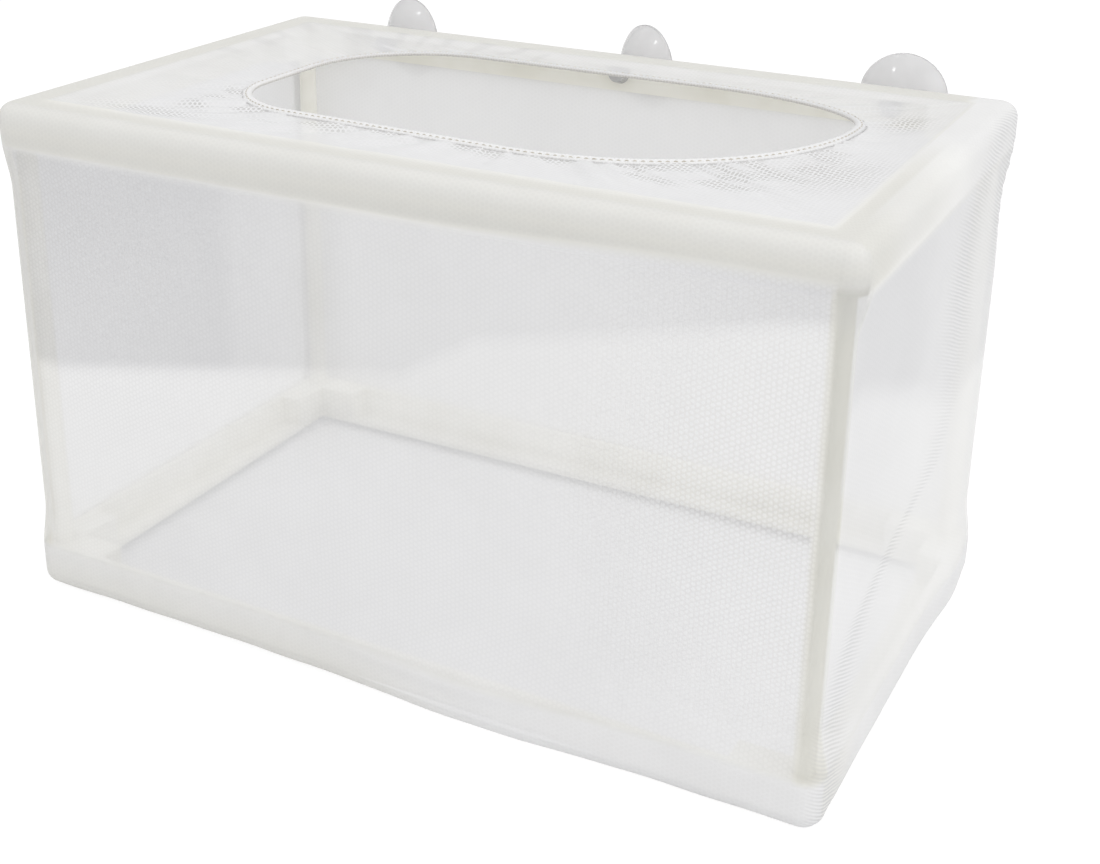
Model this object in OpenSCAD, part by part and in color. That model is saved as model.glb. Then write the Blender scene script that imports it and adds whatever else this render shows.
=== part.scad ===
// Fish breeding box: a push-fit frame of angle rails and round posts inside a
// fine mesh bag, with an elastic mouth on top and three suction cups behind.
// X runs along the length, Y to the back and Z up. The origin is the middle of
// the base of everything, cups included. All lengths are millimetres.

/* [Box] */
// Length of the box over its net
box_l = 259; // [200:1:320]
// Depth of the box over its net, without the cups
box_d = 155; // [130:1:200]
// Height of the framed box over its net
box_h = 155; // [100:1:200]
// How far the slack floor of the net hangs under the frame
net_drop = 3; // [1.5:0.5:6]

/* [Rails and corners] */
// Height of a rail's upright flange
rail_h = 12; // [10.5:0.5:16]
// Width of a rail's level flange
rail_w = 10; // [9:0.5:13]
// Thickness of both flanges
rail_t = 2; // [1.5:0.1:2.5]
// Radius along a rail's outer edge
edge_r = 2.5; // [1:0.1:3]
// Radius of the frame's upright corners
corner_r = 5; // [3.5:0.5:7]
// Length of a corner piece along each side
corner_leg = 14; // [13.5:0.5:20]
// Diameter of the pins on a corner piece
pin_d = 4; // [3:0.1:5]
// Length of the pins on a corner piece
pin_l = 9; // [6:0.5:14]
// Plastic left beyond the end of a pin's hole
sleeve_end = 1.5; // [1:0.5:3]

/* [Posts] */
// Diameter of a post
post_d = 6; // [5:0.25:7]
// Distance from the frame's outer face to the side of a post
post_inset = 2.5; // [2.1:0.1:3.2]

/* [Net] */
// Thickness of the mesh cloth
net_t = 0.6; // [0.4:0.1:1]
// Length of the open mouth
mouth_l = 178; // [120:1:190]
// Width of the open mouth
mouth_d = 93; // [84:1:110]
// Corner radius of the open mouth
mouth_r = 40; // [20:1:41]
// How far the mouth sits to the right of the middle
mouth_x = 10; // [-15:1:15]
// Diameter of the elastic cord
elastic_d = 1.4; // [1:0.1:2]
// Cloth round the elastic cord
hem_wall = 0.6; // [0.4:0.1:1]

/* [Suction cups] */
// Distance from an end of the box in to the outer cup's axis
cup_in = 38.5; // [34:0.5:60]
// Radius of a cup at its rim
cup_r = 14; // [11:0.5:15]
// Depth of a cup from its neck's bend to its rim
cup_h = 9; // [8:0.5:12]
// Thickness of a cup in its middle
cup_mid_t = 2.6; // [1.5:0.1:3.2]
// Thickness of a cup at its rim
cup_rim_t = 0.8; // [0.5:0.1:1.2]
// Width of the flat land at the rim
cup_land = 0.9; // [0.6:0.1:1.5]
// Length of the neck between its bend and the cup's back
neck_stub = 1.6; // [1.2:0.1:2.5]
// Length of the neck between the net and its bend
neck_out = 2; // [2:0.1:4]
// Diameter of a cup's neck
neck_d = 5; // [4:0.1:5.6]
// How much wider than the neck the soft knuckle is where it bends
knuckle_grow = 0.6; // [0.3:0.1:1]
// Radius of the button that keeps a cup in its hole
button_r = 3.6; // [3.4:0.1:4.2]
// Depth of the button
button_h = 3.2; // [2:0.1:4]
// How far the left cup leans to the right on its neck
lean_left = 20; // [0:1:30]
// How far the middle cup leans to the right
lean_middle = 30; // [0:1:30]
// How far the right cup leans to the right
lean_right = 0; // [0:1:30]

/* [Fits] */
// Slack between the net and the frame
net_gap = 0.3; // [0.1:0.05:0.6]
// Radial play of a pin or post in its hole
push_gap = 0.05; // [0.02:0.01:0.08]
// Radial play of a cup's neck in the rail
neck_gap = 0.08; // [0.02:0.01:0.1]
// Play between the button and what it faces
button_gap = 0.3; // [0.2:0.1:0.8]
// Slack of the net round a cup's neck
neck_slack = 0.7; // [0.3:0.1:1.5]

/* [Hidden] */
$fn = 64;

plastic = "#ece9df";
cloth = [0.93, 0.94, 0.95, 0.45];
clear_soft = [0.86, 0.88, 0.89, 0.6];

// Length by which one solid runs past another where it cuts it
past = 1;

// The frame inside the net
skin = net_t + net_gap;
frame_l = box_l - 2 * skin;
frame_d = box_d - 2 * skin;
top_z = net_drop + box_h;
frame_top = top_z - net_t;
frame_bottom = net_drop;

// A pin and its hole lie in the middle of the space inside the angle
pin_u = (rail_t + rail_w) / 2;
pin_z = -(rail_t + rail_h) / 2;
sleeve_l = pin_l + sleeve_end;
post_u = post_inset + post_d / 2;
long_rail = frame_l - 2 * corner_leg;
short_rail = frame_d - 2 * corner_leg;

// Net outline and mouth
net_corner_r = corner_r + skin;
hem_w = elastic_d + 2 * hem_wall;

// Cup heights, and how far the furthest point of a cup reaches behind the net
cup_z = frame_top - rail_t - button_r - button_gap;
bend_y = skin + neck_out;
cup_pitch = box_l / 2 - cup_in;
cup_leans = [lean_left, lean_middle, lean_right];
function lean_reach(a) = cup_h * cos(a) + cup_r * sin(a);
cup_reach = neck_out + max([for (a = cup_leans) lean_reach(a)]);

// The box stands in front of the origin by half of the cups' reach
box_y = -cup_reach / 2;
frame_back = box_y + frame_d / 2;

// Shared shapes

// Rectangle with round corners, centred
module round_rect(l, d, r) {
    square([l - 2 * r, d], center = true);
    square([l, d - 2 * r], center = true);
    for (x = [-1, 1], y = [-1, 1])
        translate([x * (l / 2 - r), y * (d / 2 - r)]) circle(r);
}

// Runs a profile drawn as (inwards, up) along +X
module along_x(length) {
    rotate([90, 0, 90]) linear_extrude(length) children();
}

// Takes away the square outer edge of a rail's profile and leaves it round
module outer_edge_waste() {
    difference() {
        translate([-past, -edge_r]) square([edge_r + past, edge_r + past]);
        translate([edge_r, -edge_r]) circle(edge_r);
    }
}

// Angle profile of a rail: outer face at 0, level flange uppermost
module angle_profile() {
    difference() {
        union() {
            translate([0, -rail_h]) square([rail_t, rail_h]);
            translate([0, -rail_t]) square([rail_w, rail_t]);
        }
        outer_edge_waste();
    }
}

// The same outline filled in, for the solid corner pieces
module solid_profile() {
    difference() {
        translate([0, -rail_h]) square([rail_w, rail_h]);
        outer_edge_waste();
    }
}

// Block that fills the angle at one end of a rail
module end_sleeve() {
    translate([0, rail_t / 2, -rail_h])
        cube([sleeve_l, rail_w - rail_t / 2, rail_h - rail_t / 2]);
}

// Hole in that block for a corner's pin
module pin_hole() {
    translate([-past, pin_u, pin_z]) rotate([0, 90, 0])
        cylinder(r = pin_d / 2 + push_gap, h = pin_l + past);
}

// Rail of the top ring along +X, from x = 0, with its outer face at y = 0
module rail(length) {
    difference() {
        union() {
            along_x(length) angle_profile();
            end_sleeve();
            translate([length, 0, 0]) mirror([1, 0, 0]) end_sleeve();
        }
        pin_hole();
        translate([length, 0, 0]) mirror([1, 0, 0]) pin_hole();
    }
}

// Corner of the top ring: outer faces at x = 0 and y = 0, legs along +X and +Y
module ring_corner() {
    difference() {
        union() {
            corner_body();
            corner_pin();
            mirror([1, -1, 0]) corner_pin();
        }
        translate([post_u, post_u, -rail_h - past])
            cylinder(r = post_d / 2 + push_gap, h = rail_h - rail_t + past);
    }
}

module corner_body() {
    for (side = [0, 1])
        mirror([side, -side, 0])
            translate([corner_r, 0, 0])
                along_x(corner_leg - corner_r) solid_profile();
    translate([corner_r, corner_r, 0]) rotate([0, 0, 180])
        rotate_extrude(angle = 90)
            intersection() {
                translate([corner_r, 0]) mirror([1, 0]) solid_profile();
                translate([0, -rail_h]) square([corner_r, rail_h]);
            }
}

module corner_pin() {
    translate([corner_leg - past, pin_u, pin_z]) rotate([0, 90, 0])
        cylinder(d = pin_d, h = pin_l + past);
}

// Lifts a top-ring piece into place, or turns it over for the bottom ring
module at_top() {
    translate([0, box_y, frame_top]) children();
}

module at_bottom() {
    translate([0, box_y, frame_bottom]) mirror([0, 0, 1]) children();
}

// Places a piece at one corner of the frame: sx is -1 left or 1 right, sy is
// -1 front or 1 back
module at_corner(sx, sy) {
    translate([sx * frame_l / 2, sy * frame_d / 2, 0])
        mirror([sx > 0 ? 1 : 0, 0, 0])
            mirror([0, sy > 0 ? 1 : 0, 0])
                children();
}

// Long rails start a corner's leg away from the left corner, short ones from
// the front corner
module long_rail_at(sy) {
    at_corner(-1, sy) translate([corner_leg, 0, 0]) rail(long_rail);
}

module short_rail_at(sx) {
    at_corner(sx, -1) mirror([1, -1, 0]) translate([corner_leg, 0, 0]) rail(short_rail);
}

module post_at(sx, sy) {
    at_corner(sx, sy)
        translate([post_u, post_u, 0])
            cylinder(d = post_d, h = frame_top - frame_bottom - 2 * rail_t);
}

// Rails

module top_rail_front() {
    color(plastic) at_top() long_rail_at(-1);
}

// The back rail has a round hole for each cup's neck
module top_rail_back() {
    color(plastic) difference() {
        at_top() long_rail_at(1);
        for (x = [-cup_pitch, 0, cup_pitch])
            translate([x, frame_back + past, cup_z]) rotate([90, 0, 0])
                cylinder(r = neck_d / 2 + neck_gap, h = rail_t + 2 * past);
    }
}

module top_rail_left() {
    color(plastic) at_top() short_rail_at(-1);
}

module top_rail_right() {
    color(plastic) at_top() short_rail_at(1);
}

module bottom_rail_front() {
    color(plastic) at_bottom() long_rail_at(-1);
}

module bottom_rail_back() {
    color(plastic) at_bottom() long_rail_at(1);
}

module bottom_rail_left() {
    color(plastic) at_bottom() short_rail_at(-1);
}

module bottom_rail_right() {
    color(plastic) at_bottom() short_rail_at(1);
}

// Posts

module post(sx, sy) {
    color(plastic) translate([0, box_y, frame_bottom + rail_t]) post_at(sx, sy);
}

module post_front_left() {
    post(-1, -1);
}

module post_front_right() {
    post(1, -1);
}

module post_back_left() {
    post(-1, 1);
}

module post_back_right() {
    post(1, 1);
}

// Corners

module top_corner(sx, sy) {
    color(plastic) at_top() at_corner(sx, sy) ring_corner();
}

module bottom_corner(sx, sy) {
    color(plastic) at_bottom() at_corner(sx, sy) ring_corner();
}

module top_corner_front_left() {
    top_corner(-1, -1);
}

module top_corner_front_right() {
    top_corner(1, -1);
}

module top_corner_back_left() {
    top_corner(-1, 1);
}

module top_corner_back_right() {
    top_corner(1, 1);
}

module bottom_corner_front_left() {
    bottom_corner(-1, -1);
}

module bottom_corner_front_right() {
    bottom_corner(1, -1);
}

module bottom_corner_back_left() {
    bottom_corner(-1, 1);
}

module bottom_corner_back_right() {
    bottom_corner(1, 1);
}

// Net

// Plan of the four net walls as one closed band
module net_band() {
    difference() {
        round_rect(box_l, box_d, net_corner_r);
        round_rect(box_l - 2 * net_t, box_d - 2 * net_t, net_corner_r - net_t);
    }
}

// The front and back panels take the round corners with them
module long_net(sy) {
    color(cloth) translate([0, box_y, 0]) linear_extrude(top_z)
        intersection() {
            net_band();
            translate([0, sy * (box_d - net_corner_r) / 2])
                square([box_l + past, net_corner_r], center = true);
        }
}

module short_net(sx) {
    color(cloth)
        translate([sx * (box_l - net_t) / 2, box_y, top_z / 2])
            cube([net_t, box_d - 2 * net_corner_r, top_z], center = true);
}

module net_front() {
    long_net(-1);
}

// The cups' necks pass through the back panel
module net_back() {
    difference() {
        long_net(1);
        for (x = [-cup_pitch, 0, cup_pitch])
            translate([x, box_y + box_d / 2 + past, cup_z]) rotate([90, 0, 0])
                cylinder(r = neck_d / 2 + neck_slack, h = net_t + 2 * past);
    }
}

module net_left() {
    short_net(-1);
}

module net_right() {
    short_net(1);
}

module net_inside() {
    round_rect(box_l - 2 * net_t, box_d - 2 * net_t, net_corner_r - net_t);
}

module net_floor() {
    color(cloth) translate([0, box_y, 0]) linear_extrude(net_t) net_inside();
}

// Outline of the mouth, grown by an amount all round
module mouth_outline(grow) {
    translate([mouth_x, box_y])
        round_rect(mouth_l + 2 * grow, mouth_d + 2 * grow, mouth_r + grow);
}

// Top of the net, from the walls in to the hem
module net_top() {
    color(cloth) translate([0, 0, top_z - net_t]) linear_extrude(net_t)
        difference() {
            translate([0, box_y]) net_inside();
            mouth_outline(hem_w);
        }
}

// Round cord that runs in the middle of the hem, all round the mouth
module elastic_loop() {
    bend = mouth_r + hem_w / 2;
    l = mouth_l + hem_w;
    d = mouth_d + hem_w;
    translate([mouth_x, box_y, top_z - hem_w / 2]) {
        for (s = [-1, 1]) {
            translate([bend - l / 2, s * d / 2, 0]) rotate([0, 90, 0])
                cylinder(d = elastic_d, h = l - 2 * bend);
            translate([s * l / 2, d / 2 - bend, 0]) rotate([90, 0, 0])
                cylinder(d = elastic_d, h = d - 2 * bend);
        }
        for (turn = [0, 90, 180, 270]) {
            sx = turn == 0 || turn == 270 ? 1 : -1;
            sy = turn < 180 ? 1 : -1;
            translate([sx * (l / 2 - bend), sy * (d / 2 - bend), 0])
                rotate([0, 0, turn])
                    rotate_extrude(angle = 90) translate([bend, 0]) circle(d = elastic_d);
        }
    }
}

// Hem folded round the elastic
module mouth_hem() {
    color(cloth) difference() {
        translate([0, 0, top_z - hem_w]) linear_extrude(hem_w)
            difference() {
                mouth_outline(hem_w);
                mouth_outline(0);
            }
        elastic_loop();
    }
}

module elastic_cord() {
    color("#c9bfae") elastic_loop();
}

// Suction cups

// Half section of a cup: its axis is y = up, its neck's bend is at the origin
module cup_section() {
    back_h = cup_h - cup_rim_t - neck_stub;
    back_r = (cup_r * cup_r + back_h * back_h) / (2 * back_h);
    hollow_h = cup_h - neck_stub - cup_mid_t;
    hollow_w = cup_r - cup_land;
    hollow_r = (hollow_w * hollow_w + hollow_h * hollow_h) / (2 * hollow_h);
    difference() {
        intersection() {
            union() {
                translate([0, neck_stub + back_r]) circle(back_r, $fn = 128);
                square([neck_d / 2, neck_stub + cup_mid_t / 2]);
            }
            square([cup_r, cup_h]);
        }
        translate([0, cup_h - hollow_h + hollow_r]) circle(hollow_r, $fn = 128);
    }
}

// A cup on its hole's axis, leaning to the right by an angle on its soft neck
module suction_cup(lean) {
    neck_start = -rail_t - button_gap;
    // button that keeps the cup in the rail
    translate([0, neck_start, 0]) rotate([90, 0, 0])
        cylinder(r1 = button_r, r2 = neck_d / 2, h = button_h);
    // straight neck through the rail and the net, up to a soft knuckle
    translate([0, bend_y, 0]) rotate([90, 0, 0])
        cylinder(d = neck_d, h = bend_y - neck_start + button_h / 2);
    translate([0, bend_y, 0]) rotate([0, 0, 180]) sphere(d = neck_d + knuckle_grow);
    translate([0, bend_y, 0]) rotate([0, 0, -lean]) rotate([-90, 0, 0])
        rotate_extrude() cup_section();
}

module cup_at(place) {
    color(clear_soft)
        translate([(place - 1) * cup_pitch, frame_back, cup_z])
            suction_cup(cup_leans[place]);
}

module suction_cup_left() {
    cup_at(0);
}

module suction_cup_middle() {
    cup_at(1);
}

module suction_cup_right() {
    cup_at(2);
}

top_rail_front();
top_rail_back();
top_rail_left();
top_rail_right();
bottom_rail_front();
bottom_rail_back();
bottom_rail_left();
bottom_rail_right();
post_front_left();
post_front_right();
post_back_left();
post_back_right();
top_corner_front_left();
top_corner_front_right();
top_corner_back_left();
top_corner_back_right();
bottom_corner_front_left();
bottom_corner_front_right();
bottom_corner_back_left();
bottom_corner_back_right();
net_front();
net_back();
net_left();
net_right();
net_floor();
net_top();
mouth_hem();
elastic_cord();
suction_cup_left();
suction_cup_middle();
suction_cup_right();
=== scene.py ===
"""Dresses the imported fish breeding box: its net bag, gathered mouth, push-fit frame and suction cups.

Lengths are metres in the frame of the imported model: X along the box, Y to the back, Z up.
"""

import math

import bpy
import numpy as np
from bpy.props import FloatProperty, FloatVectorProperty, IntProperty, PointerProperty
from mathutils import Matrix, Vector


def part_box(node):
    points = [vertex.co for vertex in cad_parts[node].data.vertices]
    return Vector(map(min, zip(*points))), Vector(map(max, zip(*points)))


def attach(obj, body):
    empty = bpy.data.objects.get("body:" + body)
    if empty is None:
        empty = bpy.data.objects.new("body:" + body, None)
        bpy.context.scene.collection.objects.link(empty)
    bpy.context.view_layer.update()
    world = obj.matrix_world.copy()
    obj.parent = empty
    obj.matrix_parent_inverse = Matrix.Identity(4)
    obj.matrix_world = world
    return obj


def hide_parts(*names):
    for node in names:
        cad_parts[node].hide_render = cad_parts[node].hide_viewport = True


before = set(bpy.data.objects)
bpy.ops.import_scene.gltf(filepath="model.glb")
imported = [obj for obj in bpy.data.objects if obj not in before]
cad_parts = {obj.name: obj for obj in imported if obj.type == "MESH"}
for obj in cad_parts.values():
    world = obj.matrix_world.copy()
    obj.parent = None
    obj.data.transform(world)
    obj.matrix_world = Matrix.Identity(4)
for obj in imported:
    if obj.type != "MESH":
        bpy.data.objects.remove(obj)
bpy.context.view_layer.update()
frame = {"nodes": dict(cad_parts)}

bl_info = {
    "name": "Fish breeding box",
    "version": (1, 0, 0),
    "blender": (4, 5, 0),
    "location": "3D View > Sidebar > Breeding box",
    "description": "Builds the net bag, mouth, frame finish, suction cups and stage of a breeding box",
    "category": "Add Mesh",
}

MM = 0.001
WALL_NODES = ("net_front", "net_back", "net_left", "net_right")
SIDES = ("front", "back", "left", "right")
CORNERS = ("front_left", "front_right", "back_left", "back_right")
CUPS = ("left", "middle", "right")
# How far the ridges of the slack cloth rise for each step along the wall
RIDGE_SLANT = 0.40


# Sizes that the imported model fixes


class BoxSizes:
    """The net's outer box and the frame inside it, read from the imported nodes."""

    def __init__(self):
        lows, highs = zip(*(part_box(node) for node in WALL_NODES))
        low = np.array(lows).min(axis=0)
        high = np.array(highs).max(axis=0)
        self.half_x = (high[0] - low[0]) / 2
        self.half_y = (high[1] - low[1]) / 2
        self.mid_y = (high[1] + low[1]) / 2
        self.top = high[2]
        rail_low, rail_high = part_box("top_rail_front")
        self.skin = rail_low[1] - low[1]
        self.rail_width = rail_high[1] - rail_low[1]
        self.rail_height = rail_high[2] - rail_low[2]
        self.frame_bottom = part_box("bottom_rail_front")[0][2]
        post_low, post_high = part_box("post_front_left")
        self.post_inset = post_low[1] - low[1]
        self.post_radius = (post_high[1] - post_low[1]) / 2
        hem_low, hem_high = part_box("mouth_hem")
        self.hem_height = hem_high[2] - hem_low[2]
        elastic_low, elastic_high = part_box("elastic_cord")
        self.elastic_radius = (elastic_high[2] - elastic_low[2]) / 2


SIZES = BoxSizes()


# User settings


class NetSettings(bpy.types.PropertyGroup):
    """Cloth of the bag."""

    color: FloatVectorProperty(
        name="Thread colour", description="Colour of the nylon thread", subtype="COLOR",
        size=3, min=0, max=1, default=(0.88, 0.88, 0.89))
    pitch: FloatProperty(
        name="Mesh pitch", description="Distance between neighbouring holes of the net",
        default=1.5 * MM, min=0.5 * MM, max=4 * MM, unit="LENGTH")
    thread: FloatProperty(
        name="Thread share", description="Width of a thread as a share of the pitch",
        default=0.36, min=0.1, max=0.8, subtype="FACTOR")
    cover: FloatProperty(
        name="Cover", description="Share of the light that the open net stops",
        default=0.62, min=0.2, max=1, subtype="FACTOR")
    glow: FloatProperty(
        name="Glow through", description="Share of the stopped light that shines on through the thin thread",
        default=0.8, min=0, max=1, subtype="FACTOR")
    pull_in: FloatProperty(
        name="Pull in at the posts", description="How far the net is drawn in between the rings",
        default=1.2 * MM, min=0, max=2.5 * MM, unit="LENGTH")
    tight_pull_in: FloatProperty(
        name="Pull in at the tight post", description="How far the net is drawn in at the front right post",
        default=2.9 * MM, min=0, max=3 * MM, unit="LENGTH")
    corner_radius: FloatProperty(
        name="Corner radius", description="Radius of the net round the frame's upright corners",
        default=5.9 * MM, min=3 * MM, max=12 * MM, unit="LENGTH")
    edge_radius: FloatProperty(
        name="Edge radius", description="Radius of the net over the rails' outer edges",
        default=4.6 * MM, min=1 * MM, max=6 * MM, unit="LENGTH")
    ground_gap: FloatProperty(
        name="Gap to the ground", description="Height of the bag's lower edge, which hangs below the rails",
        default=0.5 * MM, min=0.3 * MM, max=2.5 * MM, unit="LENGTH")


class MouthSettings(bpy.types.PropertyGroup):
    """The elastic mouth and the gathers round it."""

    gathers: IntProperty(
        name="Gathers", description="Number of pleats round the mouth", default=66, min=20, max=140)
    gather_height: FloatProperty(
        name="Gather height", description="Height of a pleat beside the hem",
        default=0.45 * MM, min=0, max=2 * MM, unit="LENGTH")
    elastic_color: FloatVectorProperty(
        name="Elastic colour", description="Colour of the covered elastic", subtype="COLOR",
        size=3, min=0, max=1, default=(0.60, 0.55, 0.47))


class FrameSettings(bpy.types.PropertyGroup):
    """Moulded rails, posts and corner pieces."""

    color: FloatVectorProperty(
        name="Plastic colour", description="Colour of the moulded frame", subtype="COLOR",
        size=3, min=0, max=1, default=(0.90, 0.89, 0.835))


class CupSettings(bpy.types.PropertyGroup):
    """Suction cups."""

    color: FloatVectorProperty(
        name="Cup colour", description="Tint of the clear soft plastic", subtype="COLOR",
        size=3, min=0, max=1, default=(0.82, 0.815, 0.82))


class StageSettings(bpy.types.PropertyGroup):
    """Camera and light."""

    camera_place: FloatVectorProperty(
        name="Camera place", description="Where the camera stands", subtype="TRANSLATION", unit="LENGTH",
        size=3, default=(0.2192, -0.4187, 0.2740))
    azimuth: FloatProperty(
        name="Azimuth", description="How far the camera looks to the left of straight back",
        default=math.radians(28.168), subtype="ANGLE")
    tilt: FloatProperty(
        name="Tilt", description="How far the camera looks down", default=math.radians(20.945), subtype="ANGLE")
    roll: FloatProperty(
        name="Roll", description="Turn of the camera about its own axis", default=math.radians(0.484), subtype="ANGLE")
    focal_pixels: FloatProperty(
        name="Focal length in pixels", description="Focal length measured in the photograph's pixels",
        default=1634, min=100)
    ambient: FloatProperty(
        name="Room light", description="Strength of the even light from all round", default=0.755, min=0)


class BoxSettings(bpy.types.PropertyGroup):
    """All settings of the breeding box."""

    net: PointerProperty(type=NetSettings)
    mouth: PointerProperty(type=MouthSettings)
    frame: PointerProperty(type=FrameSettings)
    cup: PointerProperty(type=CupSettings)
    stage: PointerProperty(type=StageSettings)


# Numbers and outlines


def smooth_step(x, low, high):
    """0 below low, 1 above high, and 3t^2 - 2t^3 in between."""
    t = np.clip((x - low) / (high - low), 0.0, 1.0)
    return t * t * (3.0 - 2.0 * t)


def waves(s, counts, seed):
    """Sum of whole-period sine waves round a closed loop, s from 0 to 1, scaled to about -1 to 1."""
    draw = np.random.default_rng(seed)
    total = np.zeros_like(s)
    for count in counts:
        total = total + np.sin(2 * np.pi * (count * s + draw.random())) * (0.5 + draw.random())
    return total / len(counts)


def side_counts(spacing, corner_steps):
    """Number of grid steps on each stretch of the outline: half the back, corner, left, corner, front,
    corner, right, corner and the other half of the back."""
    net = bpy.context.scene.breeding_box.net
    long_side = 2 * (SIZES.half_x - net.corner_radius)
    short_side = 2 * (SIZES.half_y - net.corner_radius)
    half_long = round(long_side / 2 / spacing)
    short = round(short_side / spacing)
    return (half_long, corner_steps, short, corner_steps, 2 * half_long, corner_steps, short, corner_steps, half_long)


def rounded_outline(half_x, half_y, radius, counts):
    """Closed outline of a rectangle with round corners, anticlockwise from the middle of the back.

    Each stretch is a straight line cut into equal steps or a quarter circle cut into equal angles, so
    outlines with different sizes and radii keep their points in step. Returns (n, 2) points.
    """
    inner_x, inner_y = half_x - radius, half_y - radius
    lines = [
        ((0, half_y), (-inner_x, half_y)), None, ((-half_x, inner_y), (-half_x, -inner_y)), None,
        ((-inner_x, -half_y), (inner_x, -half_y)), None, ((half_x, -inner_y), (half_x, inner_y)), None,
        ((inner_x, half_y), (0, half_y)),
    ]
    centres = {1: (-inner_x, inner_y, 90), 3: (-inner_x, -inner_y, 180), 5: (inner_x, -inner_y, 270), 7: (inner_x, inner_y, 0)}
    parts = []
    for index, count in enumerate(counts):
        t = np.arange(count) / count
        if lines[index]:
            start, end = np.array(lines[index], float)
            parts.append(start + t[:, None] * (end - start))
        else:
            x, y, begin = centres[index]
            angle = np.radians(begin + 90 * t)
            parts.append(np.stack([x + radius * np.cos(angle), y + radius * np.sin(angle)], axis=1))
    return np.concatenate(parts)


def loop_lengths(points):
    """Distance along a closed loop at each of its points, and the whole length."""
    steps = np.linalg.norm(np.roll(points, -1, axis=0) - points, axis=1)
    return np.concatenate([[0.0], np.cumsum(steps)[:-1]]), float(steps.sum())


# The mouth's edge as seen: its four limits beside the box's middle, and the two radii of each corner
MOUTH_LEFT, MOUTH_RIGHT = -77.0 * MM, 94.0 * MM
MOUTH_FRONT, MOUTH_BACK = -41.0 * MM, 48.5 * MM
# The front edge leans: this much further back at its left end and further forward at its right end
MOUTH_LEAN = 3.0 * MM
MOUTH_CORNERS = {
    "back_left": (38 * MM, 38 * MM),
    "front_left": (25 * MM, 25 * MM),
    "front_right": (75 * MM, 62 * MM),
    "back_right": (54 * MM, 25 * MM),
}


def mouth_curve(grow, count=1600):
    """Edge of the mouth, grown outwards: straight lines joined by quarter ellipses, from the middle of the
    back anticlockwise. Returns (count, 2) points at equal distances."""
    left, right = MOUTH_LEFT - grow, MOUTH_RIGHT + grow
    front, back = MOUTH_FRONT - grow, MOUTH_BACK + grow
    quarters = []
    for name, begin in (("back_left", 90), ("front_left", 180), ("front_right", 270), ("back_right", 0)):
        rx, ry = (r + grow for r in MOUTH_CORNERS[name])
        x = left + rx if "left" in name else right - rx
        y = front + ry if "front" in name else back - ry
        angle = np.radians(begin + np.linspace(0, 90, 60))
        quarters.append(np.stack([x + rx * np.cos(angle), y + ry * np.sin(angle)], axis=1))
    middle = (left + right) / 2
    loop = np.concatenate([[[middle, back]], *quarters])
    forward = smooth_step(-loop[:, 1], -0.3 * MOUTH_BACK, -MOUTH_FRONT)
    loop[:, 1] -= MOUTH_LEAN * forward * np.sin(np.pi * np.clip((loop[:, 0] - 5 * MM) / (right - left), -0.5, 0.5))
    along, length = loop_lengths(loop)
    along = np.append(along, length)
    loop = np.concatenate([loop, loop[:1]])
    at = np.arange(count) / count * length
    return np.stack([np.interp(at, along, loop[:, k]) for k in range(2)], axis=1)


def quarter_marks(points, middle):
    """Positions, as shares of the loop, where it crosses the left, front, right and back middles."""
    along, length = loop_lengths(points)
    x, y = (points - middle).T
    marks = [along[np.argmin(x)], along[np.argmin(y + 0.2 * np.abs(x))]]
    marks += [along[np.argmax(x)], length]
    return np.array([0.0, *marks]) / length


def mouth_partners(outline, grow):
    """The point of the mouth's edge that each column of the outline is gathered to.

    Both loops are cut at the middles of their four sides, and a column keeps its share of its quarter.
    """
    along, length = loop_lengths(outline)
    share = along / length
    half_turns = np.array([0.0, 0.25, 0.5, 0.75, 1.0])
    outer_x, outer_y = outline.T
    left = share[np.argmin(np.where(outer_x < 0, np.abs(outer_y), 1.0))]
    front = share[np.argmin(np.where(outer_y < 0, np.abs(outer_x), 1.0))]
    right = share[np.argmin(np.where(outer_x > 0, np.abs(outer_y), 1.0))]
    turn = np.interp(share, [0.0, left, front, right, 1.0], half_turns)
    edge = mouth_curve(grow)
    edge_along, edge_length = loop_lengths(edge)
    edge_share = edge_along / edge_length
    middle_x = (MOUTH_LEFT + MOUTH_RIGHT) / 2
    edge_x, edge_y = edge.T
    e_left = edge_share[np.argmin(np.where(edge_x < middle_x - 0.04, np.abs(edge_y), 1.0))]
    e_front = edge_share[np.argmin(np.where(edge_y < 0, np.abs(edge_x - middle_x), 1.0))]
    e_right = edge_share[np.argmin(np.where(edge_x > middle_x + 0.04, np.abs(edge_y), 1.0))]
    at = np.interp(turn, half_turns, [0.0, e_left, e_front, e_right, 1.0])
    closed_share = np.append(edge_share, 1.0)
    closed_edge = np.concatenate([edge, edge[:1]])
    return np.stack([np.interp(at, closed_share, closed_edge[:, k]) for k in range(2)], axis=1)


# Meshes


def make_object(name, vertices, faces, material, smooth=True):
    """A mesh object at the origin with its place in its mesh."""
    mesh = bpy.data.meshes.new(name)
    mesh.from_pydata(np.asarray(vertices, float).tolist(), [], np.asarray(faces, int).tolist())
    mesh.polygons.foreach_set("use_smooth", np.full(len(mesh.polygons), smooth))
    mesh.materials.append(material)
    mesh.update()
    obj = bpy.data.objects.new(name, mesh)
    bpy.context.scene.collection.objects.link(obj)
    return obj


def grid_faces(rows, columns, closed_rows=False, closed_columns=False):
    """Quads of a grid of points stored row by row, joined round where a way is closed."""
    r = np.arange(rows if closed_rows else rows - 1)[:, None]
    c = np.arange(columns if closed_columns else columns - 1)[None, :]
    r2, c2 = (r + 1) % rows, (c + 1) % columns
    return np.stack([r * columns + c, r * columns + c2, r2 * columns + c2, r2 * columns + c], axis=-1).reshape(-1, 4)


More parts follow.
